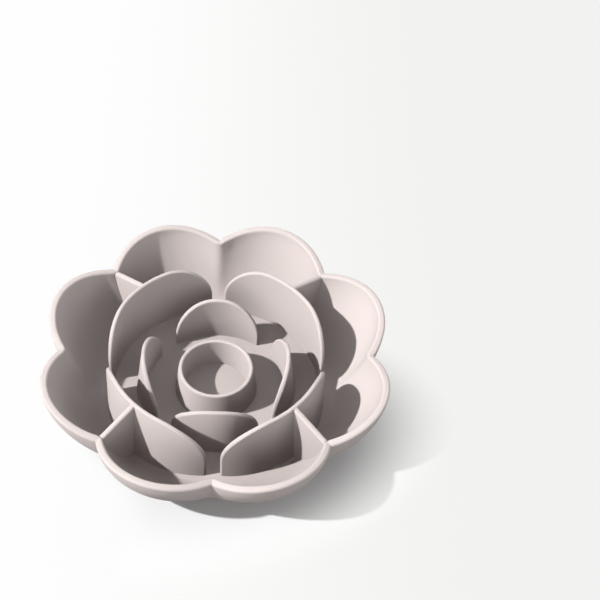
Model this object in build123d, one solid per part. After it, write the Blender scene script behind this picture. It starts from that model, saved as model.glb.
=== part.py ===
from build123d import *
import os
from math import atan2, cos, pi, radians, sin, sqrt, tan

os.makedirs("parts", exist_ok=True)

# Slow feeder bowl in millimetres. Z points up, z = 0 is the table, the origin is on the
# bowl's axis, and the front of the bowl faces -Y.

# The radii run from the middle outwards, each measured from the piece inside it.
# Round well in the middle.
CUP_BASE_RADIUS = 18.0
CUP_FLARE = 1.0
CUP_RISE = 18.2
CUP_TOP_THICKNESS = 2.1
CUP_BASE_THICKNESS = 5.4

# Inner ring: four lower walls with nearly half-round outlines. A wall is thin along its crest
# and its ends, and its outer face swells into a belly at the middle of its foot.
CUP_CHANNEL = 15.8
INNER_GAP = 9.4
INNER_RISE = 30.2
INNER_FLARE = 0.3
INNER_CROWN = 0.5
INNER_CORNER = 23.4
INNER_THICKNESS = 2.2
INNER_BELLY = 3.9

# Outer ring: four tall arched walls of the same kind.
RING_CHANNEL = 13.4
RING_GAP = 5.0
RING_RISE = 39.5
RING_FLARE = 0.25
RING_CROWN = 1.5
RING_CORNER = 25.5
RING_THICKNESS = 2.3
RING_BELLY = 3.3

# Dish: eight petals meet in eight notches, and their tips stand higher than the notches.
FLOOR_MARGIN = 1.15
FLOOR_THICKNESS = 3.5
SIDE_RUN = 17.2
INSIDE_FULLNESS = 1.5
OUTSIDE_FULLNESS = 1.7
WALL = 4.0
PETAL_DEPTH = 11.8
TIP_HEIGHT = 42.5
NOTCH_DROP = 6.0
RIM_ROUNDING = 1.3

# Plates between the outer ring and the notches of the dish.
RIB_TOP_THICKNESS = 3.2
RIB_BASE_THICKNESS = 4.6
RIB_BELOW_CREST = 0.1
RIB_BELOW_NOTCH = 0.3

# Four rubber feet in shallow pockets under the bowl.
FOOT_RADIUS = 10.5
FOOT_SHOWS = 1.5
FOOT_INSET = 3.5
FOOT_ROUNDING = 1.0
POCKET_DEPTH = 2.0
POCKET_RIM = 1.4
POCKET_CLEARANCE = 0.1

# Places that follow from the sizes above.
CUP_OUTER_RADIUS = CUP_BASE_RADIUS + CUP_BASE_THICKNESS
INNER_CREST_RADIUS = CUP_OUTER_RADIUS + CUP_CHANNEL + INNER_FLARE
INNER_FOOT_RADIUS = INNER_CREST_RADIUS + INNER_THICKNESS + INNER_BELLY
RING_CREST_RADIUS = INNER_FOOT_RADIUS + RING_CHANNEL + RING_FLARE
RING_FOOT_RADIUS = RING_CREST_RADIUS + RING_THICKNESS + RING_BELLY
FLOOR_RADIUS = RING_FOOT_RADIUS + FLOOR_MARGIN
FLAT_RADIUS = FLOOR_RADIUS - 0.25 * WALL
INNER_NOTCH = FLOOR_RADIUS + SIDE_RUN
NOTCH_RADIUS = INNER_NOTCH + 1.25 * WALL
TIP_RADIUS = NOTCH_RADIUS + PETAL_DEPTH
INNER_TIP = TIP_RADIUS - WALL
UNDERSIDE = FOOT_SHOWS
FLOOR = UNDERSIDE + FLOOR_THICKNESS
NOTCH_HEIGHT = TIP_HEIGHT - NOTCH_DROP
PETALS = 8
HALF = pi / PETALS
RIDGE_ANGLE = 0.08 * HALF
ABOVE_RIM = 4.0
SECTION_ANGLES = (0, 15, 30, 45, 60, 75, 90)
DIAGONALS = {"front_right": -45, "back_right": 45, "back_left": 135, "front_left": -135}
SQUARES = {"right": 0, "back": 90, "left": 180, "front": -90}


def polar(radius, angle, z):
    return Vector(radius * cos(angle), radius * sin(angle), z)


def side_radius(z, bottom, top, power):
    """Radius of the dish's side at height z, between (radius, height) pairs."""
    share = min(max((top[1] - z) / (top[1] - bottom[1]), 0), 1)
    return bottom[0] + (top[0] - bottom[0]) * (1 - share**power)**(1 / power)


def section_heights(bottom, power):
    """Heights of the level sections, close together where the side curves most."""
    rise = TIP_HEIGHT - bottom
    heights = [bottom + rise * (1 - cos(radians(a))**(2 / power)) for a in SECTION_ANGLES]
    return heights + [TIP_HEIGHT + ABOVE_RIM]


def outer_section(tip, notch, z):
    """Eight arcs, one for each petal, that meet in sharp notches."""
    arcs = []
    for j in range(PETALS):
        middle = 2 * HALF * j
        start = polar(notch, middle - HALF, z)
        end = polar(notch, middle + HALF, z)
        arcs.append(Edge.make_three_point_arc(start, polar(tip, middle, z), end))
    return Wire(arcs)


def inner_section(tip, notch, z):
    """Petal arcs joined by small arcs, so that the ridge inside each notch is rounded."""
    centre = (tip**2 - notch**2) / (2 * (tip - notch * cos(HALF)))
    radius = tip - centre
    angle = HALF - RIDGE_ANGLE
    joint = centre * cos(angle) + sqrt(radius**2 - (centre * sin(angle))**2)
    x = joint * cos(angle)
    y = joint * sin(angle)
    along = joint * cos(RIDGE_ANGLE)
    across = joint * sin(RIDGE_ANGLE)
    ray = Vector(cos(HALF), sin(HALF))
    turn = Vector(-sin(HALF), cos(HALF))
    tangent = Vector(-y / radius, (x - centre) / radius)
    tilt = atan2(tangent.dot(ray), tangent.dot(turn))
    ridge = along + across * tan(tilt / 2)
    arcs = []
    for j in range(PETALS):
        middle = 2 * HALF * j
        first = polar(joint, middle - angle, z)
        second = polar(joint, middle + angle, z)
        third = polar(joint, middle + 2 * HALF - angle, z)
        arcs.append(Edge.make_three_point_arc(first, polar(tip, middle, z), second))
        arcs.append(Edge.make_three_point_arc(second, polar(ridge, middle + HALF, z), third))
    return Wire(arcs)


def dish_outside():
    sections = []
    start = (FLAT_RADIUS, UNDERSIDE)
    for z in section_heights(UNDERSIDE, OUTSIDE_FULLNESS):
        tip = side_radius(z, start, (TIP_RADIUS, TIP_HEIGHT), OUTSIDE_FULLNESS)
        notch = side_radius(z, start, (NOTCH_RADIUS, NOTCH_HEIGHT), OUTSIDE_FULLNESS)
        sections.append(outer_section(tip, notch, z))
    return Solid.make_loft(sections)


def dish_inside():
    sections = []
    start = (FLOOR_RADIUS, FLOOR)
    for z in section_heights(FLOOR, INSIDE_FULLNESS):
        tip = side_radius(z, start, (INNER_TIP, TIP_HEIGHT), INSIDE_FULLNESS)
        notch = side_radius(z, start, (INNER_NOTCH, NOTCH_HEIGHT), INSIDE_FULLNESS)
        sections.append(inner_section(tip, notch, z))
    return Solid.make_loft(sections)


def petal_wedge():
    """An eighth of a disc, cut under a barrel whose crest gives the domed rim."""
    reach = 1.4 * TIP_RADIUS
    left = (reach * cos(HALF), reach * sin(HALF))
    right = (reach * cos(HALF), -reach * sin(HALF))
    wedge = extrude(make_face(Polyline((0, 0), right, left, (0, 0))), TIP_HEIGHT + ABOVE_RIM)
    half_chord = NOTCH_RADIUS * sin(HALF)
    barrel_radius = (half_chord**2 + NOTCH_DROP**2) / (2 * NOTCH_DROP)
    base = Plane(origin=(0, 0, TIP_HEIGHT - barrel_radius), z_dir=(1, 0, 0))
    align = (Align.CENTER, Align.CENTER, Align.MIN)
    return wedge & base * Cylinder(barrel_radius, reach, align=align)


def long_rim_edges(sector):
    """Edges of the domed top, without the two that lie on the cut planes."""
    top = sector.faces().filter_by(GeomType.CYLINDER).sort_by(Axis.Z)[-1]
    edges = []
    for edge in top.edges():
        centre = edge.center()
        if abs(centre.X * sin(HALF) - abs(centre.Y) * cos(HALF)) > 0.01:
            edges.append(edge)
    return edges


def bowl_shell(inside):
    sector = ((dish_outside() - inside) & petal_wedge()).solids()[0]
    rounding = min(RIM_ROUNDING, 0.35 * WALL)
    sector = sector.fillet(rounding, long_rim_edges(sector))
    petals = []
    for j in range(PETALS):
        petals.append(sector.rotate(Axis.Z, 360 / PETALS * (j + 0.5)))
    dish = petals[0].fuse(*petals[1:])
    pocket_radius = FOOT_RADIUS + POCKET_CLEARANCE
    align = (Align.CENTER, Align.CENTER, Align.MIN)
    boss = Cylinder(pocket_radius + POCKET_RIM, FLOOR_THICKNESS + WALL, align=align)
    boss = foot_place(180 / PETALS, UNDERSIDE) * boss - inside
    pocket = Cylinder(pocket_radius, POCKET_DEPTH, align=align)
    for angle in SQUARES.values():
        dish = dish + Rot(Z=angle - 180 / PETALS) * boss
        dish = dish - foot_place(angle, UNDERSIDE) * pocket
    return dish


def foot_place(angle, z):
    return Rot(Z=angle) * Pos(FLAT_RADIUS - FOOT_INSET, 0, z)


def foot():
    height = FOOT_SHOWS + POCKET_DEPTH
    body = Cylinder(FOOT_RADIUS, height, align=(Align.CENTER, Align.CENTER, Align.MIN))
    edge = body.edges().sort_by(Axis.Z)[0]
    return fillet(edge, min(FOOT_ROUNDING, 0.6 * FOOT_SHOWS))


def half_width(radius, gap):
    """Half the width of four equal walls round a circle, with this gap between corners."""
    return (sqrt(8 * radius**2 - 2 * gap**2) - sqrt(2) * gap) / 4


def arch(half, rise, crown, corner):
    """Outline of a wall seen from outside: upright ends, big corners and a crowned top."""
    shoulder = FLOOR + rise - crown
    left = Line((-half, FLOOR), (-half, shoulder))
    top = ThreePointArc((-half, shoulder), (0, FLOOR + rise), (half, shoulder))
    right = Line((half, shoulder), (half, FLOOR))
    base = Line((half, FLOOR), (-half, FLOOR))
    outline = make_face([left, top, right, base])
    corners = outline.vertices().group_by(Axis.Y)[-1]
    return fillet(corners, min(corner, 0.96 * half))


def bow(middle, end, half, y):
    """Place at y on an arc that passes the middle point and the two ends at y = +-half."""
    depth = middle - end
    radius = (half**2 + depth**2) / (2 * depth)
    return middle - radius + sqrt(radius**2 - y**2)


def crescent(radius, thickness, flare, belly, half, z):
    """Level section of a wall: its two arcs come together towards the ends."""
    reach = half + thickness / 2
    inner_end = sqrt(radius**2 - half**2)
    outer_end = sqrt((radius + thickness)**2 - half**2)
    inner_middle = radius - flare
    outer_middle = radius + thickness + belly
    inner_x = bow(inner_middle, inner_end, half, reach)
    outer_x = bow(outer_middle, outer_end, half, reach)
    inner = Edge.make_three_point_arc(
        Vector(inner_x, -reach, z), Vector(inner_middle, 0, z), Vector(inner_x, reach, z))
    outer = Edge.make_three_point_arc(
        Vector(outer_x, reach, z), Vector(outer_middle, 0, z), Vector(outer_x, -reach, z))
    right = Edge.make_line(Vector(inner_x, reach, z), Vector(outer_x, reach, z))
    left = Edge.make_line(Vector(outer_x, -reach, z), Vector(inner_x, -reach, z))
    return Wire([inner, right, outer, left])


def petal_wall(radius, thickness, flare, belly, gap, outline_sizes):
    """A curved wall, trimmed to its arched outline, with a rounded crest."""
    rise, crown, corner = outline_sizes
    half = half_width(radius, gap)
    foot_section = crescent(radius, thickness, flare, belly, half, FLOOR)
    top_section = crescent(radius, thickness, 0, 0, half, FLOOR + rise)
    wall = Solid.make_loft([foot_section, top_section], ruled=True)
    front = Plane(origin=(0, 0, 0), x_dir=(0, 1, 0), z_dir=(1, 0, 0))
    outline = arch(half, rise, crown, corner)
    wall = (wall & extrude(front * outline, 2 * radius)).solids()[0]
    upper = [edge for edge in wall.edges() if edge.center().Z > FLOOR + 0.01]
    long_edges = [edge for edge in upper if edge.length > 2 * thickness]
    return wall.fillet(0.44 * thickness, long_edges).solids()[0]


def ring_petal():
    sizes = (RING_RISE, RING_CROWN, RING_CORNER)
    return petal_wall(RING_CREST_RADIUS, RING_THICKNESS, RING_FLARE, RING_BELLY, RING_GAP, sizes)


def inner_petal():
    sizes = (INNER_RISE, INNER_CROWN, INNER_CORNER)
    return petal_wall(INNER_CREST_RADIUS, INNER_THICKNESS, INNER_FLARE, INNER_BELLY,
                      INNER_GAP, sizes)


def centre_cup():
    top = FLOOR + CUP_RISE
    rim_radius = CUP_BASE_RADIUS + CUP_FLARE
    section = Polyline(
        (CUP_BASE_RADIUS, 0, FLOOR),
        (CUP_OUTER_RADIUS, 0, FLOOR),
        (rim_radius + CUP_TOP_THICKNESS, 0, top),
        (rim_radius, 0, top),
        (CUP_BASE_RADIUS, 0, FLOOR),
    )
    cup = revolve(make_face(section), Axis.Z, 360)
    rim = cup.edges().group_by(Axis.Z)[-1]
    return fillet(rim, 0.44 * CUP_TOP_THICKNESS).solids()[0]


def rib(inside, ring_wall):
    """A tapered plate with a rounded, sloping top that fills the gap to the dish."""
    start = RING_CREST_RADIUS + RING_THICKNESS / 2
    end = INNER_NOTCH + 0.5 * WALL
    high = FLOOR + RING_RISE - RIB_BELOW_CREST
    low = NOTCH_HEIGHT - RIB_BELOW_NOTCH
    slope = (high - low) / (end - start)
    reach = TIP_RADIUS - start
    top_half = RIB_TOP_THICKNESS / 2
    spread = (RIB_BASE_THICKNESS - RIB_TOP_THICKNESS) / 2 / (high - FLOOR)
    depth = high + slope * reach
    foot_half = top_half + spread * depth
    section = Polyline((-top_half, high), (top_half, high), (foot_half, high - depth),
                       (-foot_half, high - depth), (-top_half, high))
    section = make_face(section)
    section = fillet(section.vertices().group_by(Axis.Y)[-1], 0.44 * RIB_TOP_THICKNESS)
    face = Plane(origin=(start, 0, 0), x_dir=(0, 1, 0), z_dir=(1, 0, 0)) * section
    length = sqrt(reach**2 + (slope * reach)**2)
    plate = extrude(face, length, dir=(1, 0, -slope))
    plate = (plate & inside) - ring_wall
    return plate.solids().sort_by(SortBy.VOLUME)[-1]


inside = dish_inside()
petal = ring_petal()
plate = rib(inside.rotate(Axis.Z, 180 / PETALS), petal)
small_petal = inner_petal()
pad = foot()
nodes = {"bowl_shell": bowl_shell(inside), "centre_cup": centre_cup()}
for side, angle in DIAGONALS.items():
    nodes["ring_petal_" + side] = Rot(Z=angle) * petal
    nodes["rib_" + side] = Rot(Z=angle) * plate
for side, angle in SQUARES.items():
    nodes["inner_petal_" + side] = Rot(Z=angle) * small_petal
    nodes["foot_" + side] = foot_place(angle, 0) * pad
for name, shape in nodes.items():
    export_step(shape, "parts/" + name + ".step")
    print(name, shape.is_valid, len(shape.solids()), round(shape.volume, 1))
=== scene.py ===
# %% [markdown]
# # A slow feeder bowl for a cat
# The bowl is a rose of curved walls in a scalloped dish, all in one matt warm grey plastic, on
# four small rubber feet. The cells below load the modelled parts, give them their finish, and
# set up the table, the light and the camera of the photograph. Lengths are in metres, and X runs
# to the right of the picture, Y away from the viewer and Z up.
#
# ## Load the parts
# The real bowl is one moulding with four pads under it. Its dish, cup, walls, ribs and feet were
# drawn as separate solids, and each arrives here as one object. They could be modelled again by
# hand, but loading them keeps every size and every face where they meet exact.

# %% Load the parts
import math
import bpy
from mathutils import Matrix, Vector

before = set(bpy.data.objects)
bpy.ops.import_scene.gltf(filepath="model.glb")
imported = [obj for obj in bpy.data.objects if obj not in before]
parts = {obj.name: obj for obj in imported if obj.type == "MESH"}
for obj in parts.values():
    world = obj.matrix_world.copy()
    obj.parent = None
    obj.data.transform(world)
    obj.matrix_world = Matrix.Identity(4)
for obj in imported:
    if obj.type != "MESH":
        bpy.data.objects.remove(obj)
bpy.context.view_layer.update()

# %% [markdown]
# ## Writing shaders as sums
# Plastic and rubber are never one even colour. A finish is a mixture of patterns, such as "a
# little noise, plus a little more of it on top". Linking that by hand takes a Math node for every
# plus sign. A small class wraps a node's socket instead, and Python's + - * add the Math nodes,
# so that a finish can be read as a sum.

# %% Sockets that can be added and multiplied
class Value:
    """One socket of a sheet, with Python's arithmetic where it carries a number."""

    def __init__(self, sheet, socket):
        self.sheet = sheet
        self.socket = socket

    def math(self, operation, other, clamp=False, swapped=False):
        first, second = (other, self) if swapped else (self, other)
        settings = {"operation": operation, "use_clamp": clamp}
        return self.sheet.add("ShaderNodeMath", settings, {0: first, 1: second})

    def __add__(self, other):
        return self.math("ADD", other)

    def __sub__(self, other):
        return self.math("SUBTRACT", other)

    def __rsub__(self, other):
        return self.math("SUBTRACT", other, swapped=True)

    def __mul__(self, other):
        return self.math("MULTIPLY", other)

    __radd__ = __add__
    __rmul__ = __mul__

    def clamped(self):
        """The same number, kept between 0 and 1."""
        return self.math("ADD", 0.0, clamp=True)

    def rise(self, start, end):
        """A soft step: 0 up to the start, 1 from the end on, and an S curve between them."""
        settings = {"interpolation_type": "SMOOTHSTEP"}
        return self.sheet.add("ShaderNodeMapRange", settings, {0: self, 1: start, 2: end})


print("operators ready:", ", ".join(name for name in vars(Value) if name.startswith("__r")))

# %% [markdown]
# ## A sheet for each finish
# Every finish is a tree of nodes, and so is the light of the room. One class holds such a tree.
# Its `add` method makes any node: it takes the node's type, then its settings, then what goes
# into its sockets, which is either a plain number or colour or the wire from another node. The
# other methods only save typing for the nodes that several finishes use.

# %% A sheet of nodes
class Sheet:
    """The node tree of one material, or of the world."""

    def __init__(self, name, collection=bpy.data.materials, output="ShaderNodeOutputMaterial"):
        self.owner = collection.new(name)
        self.owner.use_nodes = True
        self.tree = self.owner.node_tree
        self.tree.nodes.clear()
        self.output = self.tree.nodes.new(output)

    def add(self, kind, settings=None, inputs=None, output=0):
        node = self.tree.nodes.new(kind)
        for name, value in (settings or {}).items():
            setattr(node, name, value)
        for name, value in (inputs or {}).items():
            if isinstance(value, Value):
                self.tree.links.new(value.socket, node.inputs[name])
            else:
                node.inputs[name].default_value = value
        return Value(self, node.outputs[output])

    def coordinates(self):
        return self.add("ShaderNodeTexCoord", output="Object")

    def noise(self, scale, detail):
        inputs = {"Vector": self.coordinates(), "Scale": scale, "Detail": detail,
                  "Roughness": 0.55}
        return self.add("ShaderNodeTexNoise", None, inputs)

    def colour_mix(self, share, first, second):
        # A Mix node set to colours takes them in sockets 6 and 7 and gives them in output 2.
        settings = {"data_type": "RGBA"}
        return self.add("ShaderNodeMix", settings, {0: share, 6: first, 7: second}, output=2)

    def bump(self, height, strength, depth):
        inputs = {"Height": height, "Strength": strength, "Distance": depth}
        return self.add("ShaderNodeBump", None, inputs)

    def matt(self, colour, roughness, normal, gloss, ior=1.5):
        inputs = {"Base Color": colour, "Roughness": roughness, "Normal": normal,
                  "Specular IOR Level": gloss, "IOR": ior}
        return self.add("ShaderNodeBsdfPrincipled", None, inputs)

    def show(self, surface):
        self.tree.links.new(surface.socket, self.output.inputs["Surface"])


print("a sheet can:", ", ".join(name for name in vars(Sheet) if not name.startswith("_")))

# %% [markdown]
# ## Colours
# The bowl has one warm grey and the table a cool white. A colour is easiest to compare with a
# photograph as six hex digits. It could be typed in as three amounts of light instead, which is
# what shaders count, but there a middle grey is only a fifth of white, and that is hard to judge
# by eye. So the digits are written here, and made linear by one function.

# %% From hex digits to light
def tone(hex_code):
    """The light that a colour in six hex digits stands for, with an alpha of 1."""
    channels = [int(hex_code[k:k + 2], 16) / 255 for k in (0, 2, 4)]
    linear = [c / 12.92 if c < 0.04045 else ((c + 0.055) / 1.055)**2.4 for c in channels]
    return (*linear, 1.0)


print("middle grey 808080 is", round(tone("808080")[0], 3), "of white")

# %% [markdown]
# ## Painted shade on the faces that look up
# The faces that look up, the floor and the rims, get painted shade: their colour is a touch
# darker than on the walls. That could be painted on by hand. The normal of a face already tells
# how far it looks up, 0 on an upright wall and 1 on a level floor, so a soft step on its Z makes
# the mask, and noise mottles it.

# %% Painted shade on faces that look up
# Painted shade on faces that look up: the slope where it starts and is full, and its noise.
TOP_SHADE_STARTS, TOP_SHADE_IS_FULL = 0.1, 0.85
LEAST_TOP_SHADE, TOP_SHADE_MOTTLE = 0.75, 0.4
TOP_SHADE_MOTTLE_SCALE = 120.0


# Painted shade: 0 on upright walls, up to 1 on faces that look up, mottled by noise.
def painted_top_shade(sheet):
    normal = sheet.add("ShaderNodeTexCoord", output="Normal")
    upward = sheet.add("ShaderNodeSeparateXYZ", None, {0: normal}, output="Z")
    mottle = LEAST_TOP_SHADE + TOP_SHADE_MOTTLE * sheet.noise(TOP_SHADE_MOTTLE_SCALE, detail=5.0)
    return (upward.rise(TOP_SHADE_STARTS, TOP_SHADE_IS_FULL) * mottle).clamped()


# Shows the slope from level at which the painted shade starts.
print("wear starts", round(90 - math.degrees(math.asin(TOP_SHADE_STARTS))), "degrees from level")

# %% [markdown]
# ## Matt bowl plastic
# The real bowl is moulded in a soft-touch plastic: a warm grey with a breath of pink, hardly any
# gloss, and faint clouds where the melt flowed. One flat colour would look like paint, and a
# picture wrapped round the bowl would show seams. So noise in three dimensions makes the clouds,
# the grain and the fine skin that the mould leaves. Clouds and grain move the roughness too.

# %% The bowl's plastic
CLOUD_SCALE, GRAIN_SCALE, SKIN_SCALE = 28.0, 900.0, 3800.0
CLOUD_SHARE = 0.75
UNSHADED_TONES = (tone("D9CDCA"), tone("E1D7D4"))
# Darker tones: painted shade for the faces that look up.
SHADED_TONES = (tone("CFC4C1"), tone("D7CCC9"))
PLASTIC_ROUGHNESS = 0.56
ROUGHER_CLOUDS, ROUGHER_GRAIN = 0.1, 0.08
GRAIN_SHARE = 0.6
SKIN_DEPTH = 0.00012


def bowl_plastic():
    sheet = Sheet("bowl_plastic")
    clouds = sheet.noise(CLOUD_SCALE, detail=4.0)
    grain = sheet.noise(GRAIN_SCALE, detail=2.0)
    skin = sheet.noise(SKIN_SCALE, detail=2.0)
    share = (clouds * CLOUD_SHARE + grain * (1 - CLOUD_SHARE)).clamped()
    # Faces that look up take the darker tones, as painted shade.
    colour = sheet.colour_mix(painted_top_shade(sheet), sheet.colour_mix(share, *UNSHADED_TONES),
                              sheet.colour_mix(share, *SHADED_TONES))
    roughness = PLASTIC_ROUGHNESS + clouds * ROUGHER_CLOUDS + grain * ROUGHER_GRAIN
    relief = grain * GRAIN_SHARE + skin * (1 - GRAIN_SHARE)
    bump = sheet.bump(relief, strength=0.12, depth=SKIN_DEPTH)
    sheet.show(sheet.matt(colour, roughness.clamped(), bump, gloss=0.3, ior=1.46))
    return sheet.owner


plastic = bowl_plastic()
print("finish", plastic.name, "of", len(plastic.node_tree.nodes), "nodes")

# %% [markdown]
# ## Rubber feet
# Bowls like this one stand on pads of rubber, pushed into pockets under the dish. They are a
# shade darker and rougher than the bowl, because dust clings to them. The dust could be a second
# layer over the rubber. Here one noise moves the colour and the roughness together, which is
# enough for pads that hardly show.

# %% The feet's rubber
DUST_SCALE, RUBBER_GRAIN_SCALE = 160.0, 1600.0
RUBBER_TONES = (tone("B5A9A5"), tone("C6BBB7"))
RUBBER_ROUGHNESS, ROUGHER_DUST = 0.62, 0.2
RUBBER_GRAIN_DEPTH = 0.0001


def foot_rubber():
    sheet = Sheet("foot_rubber")
    dust = sheet.noise(DUST_SCALE, detail=4.0)
    grain = sheet.noise(RUBBER_GRAIN_SCALE, detail=2.0)
    colour = sheet.colour_mix(dust, *RUBBER_TONES)
    roughness = (RUBBER_ROUGHNESS + dust * ROUGHER_DUST).clamped()
    bump = sheet.bump(grain, strength=0.2, depth=RUBBER_GRAIN_DEPTH)
    sheet.show(sheet.matt(colour, roughness, bump, gloss=0.35))
    return sheet.owner


rubber = foot_rubber()
print("finish", rubber.name, "of", len(rubber.node_tree.nodes), "nodes")

# %% [markdown]
# ## Dress the parts
# Dish, cup, petal walls and ribs come out of one mould, so they all share one plastic, and the
# clouds run on from one piece into the next as they do in the real bowl. Each piece could have a
# material of its own, but then a change of colour would have to be made fourteen times. The
# pieces whose names begin with foot get the rubber.

# %% Dress the parts
for name, part in parts.items():
    finish = rubber if name.startswith("foot_") else plastic
    if not part.material_slots:
        part.data.materials.append(finish)
    for slot in part.material_slots:
        slot.material = finish
feet = sum(name.startswith("foot_") for name in parts)
print("dressed", len(parts) - feet, "pieces in plastic and", feet, "in rubber")

# %% [markdown]
# ## The table
# The bowl stands on a plain pale table at height 0. A single big square is enough, because its
# edges lie far outside the picture. It is a tenth of a millimetre lower than the feet: two faces
# in exactly the same place would flicker.

# %% A pale floor
FLOOR_SIZE = 8.0
FLOOR_HEIGHT = -0.0001
bpy.ops.object.select_all(action="DESELECT")
bpy.ops.mesh.primitive_plane_add(size=FLOOR_SIZE, location=(0, 0, FLOOR_HEIGHT))
floor = bpy.context.active_object
floor.name = "floor"
print("floor", tuple(floor.dimensions))

# %% [markdown]
# ## A shadow that fades into paper
# In the photograph the shadow is dark beside the bowl and fades into white paper a few
# centimetres away. More light would also whiten it, but it would bleach the bowl too. So the
# floor keeps its real shadow, and a mask says where it turns to plain white. The mask grows from
# 0 to 1 outside a tilted oval round the front of the bowl, and on the side of the lamp. Under the
# bowl it falls back to 0, so that the dish stands in its own shadow from every side.

# %% Where the floor turns to plain white
OVAL_CENTRE = (0.005, -0.041, 0.0)
OVAL_TURN = 0.318
OVAL_SQUEEZE = (0.632, 1.0, 0.0)
OVAL_STARTS, OVAL_ENDS = 0.044, 0.088
LIT_SIDE_STARTS, LIT_SIDE_ENDS = -0.030, -0.055
UNDER_THE_BOWL, BEYOND_THE_BOWL = 0.070, 0.088


def plain_share(sheet, place, across):
    """0 where the floor shows its paint and 1 where it is plain white."""
    def vectors(operation, *inputs, output=0):
        settings = {"operation": operation}
        return sheet.add("ShaderNodeVectorMath", settings, dict(enumerate(inputs)), output)

    offset = vectors("SUBTRACT", place, OVAL_CENTRE)
    turned = sheet.add("ShaderNodeVectorRotate", {"rotation_type": "Z_AXIS"}, {
        "Vector": offset, "Angle": -OVAL_TURN})
    from_oval = vectors("LENGTH", vectors("MULTIPLY", turned, OVAL_SQUEEZE), output="Value")
    from_middle = vectors("LENGTH", place, output="Value")
    outside_oval = from_oval.rise(OVAL_STARTS, OVAL_ENDS)
    lit_side = across.rise(LIT_SIDE_STARTS, LIT_SIDE_ENDS)
    beyond_bowl = from_middle.rise(UNDER_THE_BOWL, BEYOND_THE_BOWL)
    return outside_oval.math("MAXIMUM", lit_side) * beyond_bowl


print("along the oval, the floor is plain from", round(OVAL_ENDS / OVAL_SQUEEZE[0], 3), "m on")

# %% [markdown]
# ## What only the camera sees
# The white of the paper is for the picture alone: as a real light it would brighten the bowl from
# below. Every ray knows where it comes from, so one small mask finds the rays that start at the
# camera, and those that reach it by way of gloss or glass.

# %% Seen rays
def seen(sheet):
    """1 for what the camera sees, directly, in a reflection or through glass, and else 0."""
    rays = sheet.add("ShaderNodeLightPath", output="Is Camera Ray")
    for kind in ("Is Glossy Ray", "Is Transmission Ray"):
        rays = rays.math("MAXIMUM", sheet.add("ShaderNodeLightPath", output=kind))
    return rays


print("ready:", seen.__doc__)

# %% [markdown]
# ## The floor's paint
# The paint itself is a matt, slightly cloudy white that takes the shadow. Away from the bowl it
# gives way to a glow of strength 1, which shows as plain paper and darkens a little towards the
# right, as the photograph does.

# %% Paint and paper
FLOOR_TONES = (tone("ECECEC"), tone("F0F0F0"))
FLOOR_CLOUD_SCALE, FLOOR_GRAIN_SCALE = 3.0, 700.0
FLOOR_ROUGHNESS, ROUGHER_PAINT = 0.75, 0.1
PAPER_TONES = (tone("FEFEFE"), tone("F2F2F0"))
# Painted shade on the plain paper: its glow turns darker towards the right, away from the key
# lamp.
PAPER_SHADE_STARTS, PAPER_SHADE_ENDS = -0.12, 0.17


def floor_paint():
    sheet = Sheet("floor_paint")
    clouds = sheet.noise(FLOOR_CLOUD_SCALE, detail=3.0)
    grain = sheet.noise(FLOOR_GRAIN_SCALE, detail=2.0)
    roughness = (FLOOR_ROUGHNESS + clouds * ROUGHER_PAINT).clamped()
    bump = sheet.bump(grain, strength=0.03, depth=0.0001)
    paint = sheet.matt(sheet.colour_mix(clouds, *FLOOR_TONES), roughness, bump, gloss=0.1)
    place = sheet.coordinates()
    across = sheet.add("ShaderNodeSeparateXYZ", None, {0: place}, output="X")
    # The paper's glow darkens towards the right: painted shade.
    white = sheet.colour_mix(across.rise(PAPER_SHADE_STARTS, PAPER_SHADE_ENDS), *PAPER_TONES)
    paper = sheet.add("ShaderNodeEmission", None, {"Color": white, "Strength": 1.0})
    share = plain_share(sheet, place, across) * seen(sheet)
    sheet.show(sheet.add("ShaderNodeMixShader", None, {0: share, 1: paint, 2: paper}))
    return sheet.owner


floor.data.materials.append(floor_paint())
print("floor painted with", floor.active_material.name)

# %% [markdown]
# ## Light
# One lamp stands at the left and a little in front, 43 degrees up, and throws clear shadows to
# the right. Wide, weak lamps around the bowl stand for the pale walls and the ceiling of the
# studio: a low ring, a high ring and one overhead. Glowing panels could do the same. Suns were
# chosen because their light is even at every distance. They light each surface directly and
# aren't passed on from wall to wall, which keeps the corners of the bowl as deep as they are in
# the photograph.

# %% Lamps
# Azimuth, in degrees from X towards Y, height and spread in degrees, and power.
LAMPS = {
    "key_lamp": (-166, 43, 2, 1.14),
    "room_front_left": (-120, 20, 50, 0.136),
    "room_front": (-80, 20, 50, 0.111),
    "room_front_right": (-45, 20, 50, 0.079),
    "room_right": (0, 20, 50, 0.104),
    "room_back_right": (45, 20, 50, 0.095),
    "room_back": (90, 20, 50, 0.085),
    "upper_left": (-165, 50, 50, 0.045),
    "upper_right": (30, 50, 50, 0.045),
    "upper_back": (90, 50, 50, 0.04),
    "upper_back_left": (135, 50, 50, 0.035),
    "ceiling": (0, 90, 50, 0.04),
}


def lamp(name, azimuth, height, spread, power):
    bpy.ops.object.light_add(type="SUN")
    light = bpy.context.active_object
    light.name = name
    light.data.energy = power * math.pi
    light.data.angle = math.radians(spread)
    light.data.cycles.max_bounces = 0
    # With importance sampling on, a wide sun would still be passed on from wall to wall.
    light.data.cycles.use_multiple_importance_sampling = False
    turn = math.radians(azimuth)
    tilt = math.radians(height)
    # A sun shines down its own Z axis, so that axis points back to where the light comes from.
    towards = Vector((math.cos(turn) * math.cos(tilt), math.sin(turn) * math.cos(tilt),
                      math.sin(tilt)))
    light.rotation_euler = towards.to_track_quat("Z", "Y").to_euler()


for name, figures in LAMPS.items():
    lamp(name, *figures)
print(len(LAMPS), "lamps, the key lamp has power", LAMPS["key_lamp"][-1])

# %% [markdown]
# ## The room
# A little light also comes from everywhere, so that no corner is black. It is the world's own
# glow, and it is kept weak, because it is passed on from wall to wall and would fill the bowl.
# The camera sees a pale wall in its place.

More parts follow.
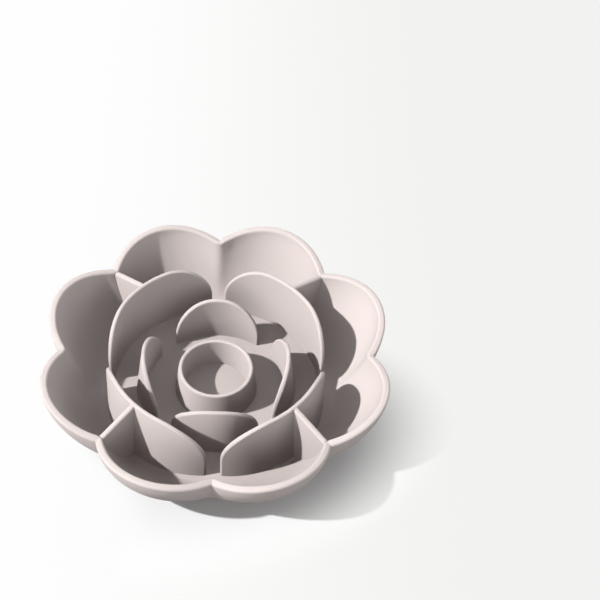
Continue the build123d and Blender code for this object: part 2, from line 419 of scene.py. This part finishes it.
# %% Room
ROOM_LIGHT = 0.15
WHITE = (1.0, 1.0, 1.0, 1.0)
WALL_TONE = tone("F2F2F0")


def room():
    sheet = Sheet("room", bpy.data.worlds, "ShaderNodeOutputWorld")
    glow = sheet.add("ShaderNodeBackground", None, {"Color": WHITE, "Strength": ROOM_LIGHT})
    wall = sheet.add("ShaderNodeBackground", None, {"Color": WALL_TONE, "Strength": 1.0})
    sheet.show(sheet.add("ShaderNodeMixShader", None, {0: seen(sheet), 1: glow, 2: wall}))
    return sheet.owner


bpy.context.scene.world = room()
print("room light", ROOM_LIGHT)

# %% [markdown]
# ## Camera
# The camera looks down at 50 degrees from 72 cm, and stands a little to the right of the bowl's
# middle. The bowl sits left of and below the middle of the photograph. Turning the camera would
# put it there too, but it would change the bowl's shape in the picture, so the lens is shifted
# sideways and up as in a view camera.

# %% Camera
TILT = 0.8766
TURN = 0.0248
DISTANCE = 0.724
TARGET = Vector((0, 0, 0.0425))
PICTURE = 600
FOCAL_LENGTH = 1305.1
BOWL_ACROSS, BOWL_DOWN = 215.93, 345.66
SENSOR = 36.0

back = Vector((0, -math.cos(TILT), math.sin(TILT))) * DISTANCE
stand = Matrix.Rotation(TURN, 3, "Z") @ back + TARGET
bpy.ops.object.camera_add(location=stand, rotation=(math.pi / 2 - TILT, 0, TURN))
camera = bpy.context.active_object
camera.name = "camera"
camera.data.sensor_width = SENSOR
camera.data.lens = SENSOR * FOCAL_LENGTH / PICTURE
camera.data.shift_x = (PICTURE / 2 - BOWL_ACROSS) / PICTURE
camera.data.shift_y = (BOWL_DOWN - PICTURE / 2) / PICTURE
camera.data.clip_start = 0.01
bpy.context.scene.camera = camera
bpy.context.scene.view_settings.view_transform = "Standard"
print("lens", round(camera.data.lens, 2), "mm, at", [round(k, 3) for k in stand])

# %% [markdown]
# ## The size of the bowl
# The dressed bowl has to be as big as the loaded one. Nothing was added to it, so it is still
# 190.5 mm across and 44.5 mm high.
